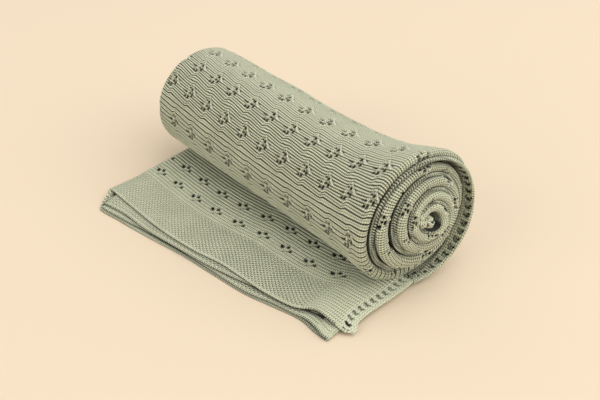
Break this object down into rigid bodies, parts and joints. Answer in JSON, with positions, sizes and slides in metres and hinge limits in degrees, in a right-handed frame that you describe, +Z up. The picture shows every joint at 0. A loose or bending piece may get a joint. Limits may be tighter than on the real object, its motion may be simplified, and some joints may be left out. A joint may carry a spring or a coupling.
{
  "type": "knitted blanket",
  "caption": "Cotton baby blanket in a fine openwork rib knit, folded lengthwise and rolled, with its hemmed end lying flat in front.",
  "frame": {"origin": "centre of the bounding box at the surface the blanket lies on", "axes": "+X along the roll towards the end with the free edges, -Y towards the flat hemmed end, +Z up"},
  "size_m": [0.2724, 0.1838, 0.1137],
  "materials": {
    "sage_cotton_knit": "matte knitted cotton"
  },
  "bodies": {
    "root": {"blanket": "sage_cotton_knit"}
  },
  "joints": []
}
